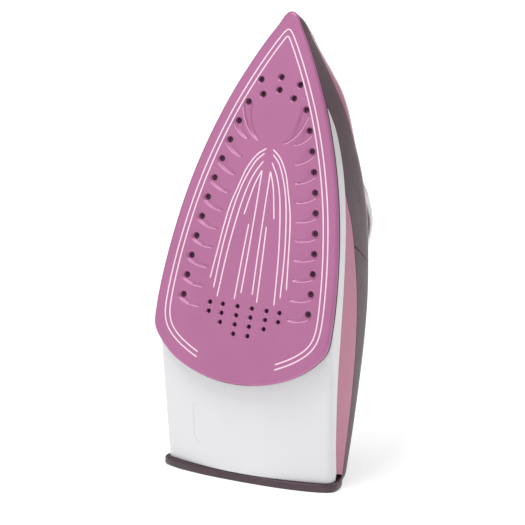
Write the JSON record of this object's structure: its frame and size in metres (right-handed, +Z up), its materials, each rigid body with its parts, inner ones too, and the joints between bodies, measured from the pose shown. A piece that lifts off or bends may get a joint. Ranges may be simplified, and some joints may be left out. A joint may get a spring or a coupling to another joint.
{
  "type": "clothes iron",
  "caption": "Steam clothes iron standing on its heel: pointed vented soleplate, tinted water tank, looped handle, dial, selector, spray and steam buttons, filler lid.",
  "frame": {"origin": "centre of the heel's flat face on the floor, below the iron", "axes": "+Z up with the iron standing on its heel and its nose up; the soleplate faces -Y leaning back 14 degrees and the handle is on the +Y side; +X across the iron"},
  "size_m": [0.1152, 0.1556, 0.2797],
  "materials": {
    "sole_coat": "satin mauve-pink non-stick coating on aluminium",
    "casting": "dark as-cast, tinted by the coating",
    "steel": "plain",
    "brass": "turned",
    "silicone": "matt",
    "ceramic_white": "matt",
    "white_shell": "semi-gloss moulded",
    "tank_clear": "translucent pink, polished",
    "dark_trim": "polished dark brown-mauve",
    "heel_shell": "satin",
    "grip_soft": "soft-touch",
    "black_plastic": "fine texture",
    "black_rubber": "matt",
    "wire_red": "matt",
    "tinted_plastic": "translucent grey-pink",
    "lamp_lens": "clear amber lens"
  },
  "bodies": {
    "root": {"sole_face": "sole_coat", "sole_casting": "casting", "heating_element": "steel", "chamber_gasket": "silicone", "chamber_cover": "steel", "valve_seat": "brass", "thermostat_body": "ceramic_white", "heat_shield": "steel", "sole_screw_front": "steel", "sole_screw_rear": "steel", "lower_housing": "white_shell", "water_tank": "tank_clear", "tank_lid": "tank_clear", "nose_band": "dark_trim", "rear_panel_left": "dark_trim", "rear_panel_right": "dark_trim", "deck_cover": "dark_trim", "heel_plate": "heel_shell", "handle_upper": "white_shell", "handle_lower": "grip_soft", "rear_cover": "dark_trim", "gland_collar": "black_plastic", "filler_neck": "black_plastic", "filler_hinge_pin": "steel", "dial_ring": "white_shell", "burst_pump": "ceramic_white", "spray_pump": "ceramic_white", "burst_spring": "steel", "spray_spring": "steel", "spray_nozzle": "black_plastic", "spray_tube": "silicone", "pickup_tube": "silicone", "pilot_lamp": "lamp_lens", "terminal_block": "ceramic_white", "wire_live": "wire_red", "wire_neutral": "black_rubber"},
    "dial": {"temperature_dial": "dark_trim", "thermostat_shaft": "brass"},
    "selector": {"steam_selector": "tinted_plastic"},
    "valve": {"valve_rod": "brass"},
    "burst": {"burst_button": "tinted_plastic"},
    "spray": {"spray_button": "tinted_plastic"},
    "lid": {"filler_lid": "tinted_plastic"},
    "gland": {"cord_gland": "black_rubber"}
  },
  "joints": [
    {"name": "dial_turn", "type": "hinge", "parent": "root", "child": "dial", "pos_m": [0, 0.03159, 0.10605], "axis": [0, 0.9703, -0.2419], "range_deg": [0, 300]},
    {"name": "selector_slide", "type": "slide", "parent": "root", "child": "selector", "axis": [0, 0.9703, -0.2419], "range_m": [0, 0.008]},
    {"name": "valve_lift", "type": "slide", "parent": "root", "child": "valve", "axis": [0, 0.9703, -0.2419], "range_m": [0, 0.003]},
    {"name": "burst_press", "type": "slide", "parent": "root", "child": "burst", "axis": [0, -0.9703, 0.2419], "range_m": [0, 0.003], "stiffness_N_per_m": 400, "springref_m": -0.002, "deforming": ["burst_spring"]},
    {"name": "spray_press", "type": "slide", "parent": "root", "child": "spray", "axis": [0, -0.9703, 0.2419], "range_m": [0, 0.003], "stiffness_N_per_m": 400, "springref_m": -0.002, "deforming": ["spray_spring"]},
    {"name": "filler_lid_open", "type": "hinge", "parent": "root", "child": "lid", "pos_m": [0, 0.04173, 0.22978], "axis": [1, 0, 0], "range_deg": [0, 100]},
    {"name": "cord_swivel_turn", "type": "hinge", "parent": "root", "child": "gland", "pos_m": [0, 0.04787, 0.02418], "axis": [0, 0.736, -0.677], "range_deg": [-150, 150]}
  ],
  "couplings": [
    {"joint": "valve_lift", "follows": "selector_slide", "ratio": 0.3}
  ]
}
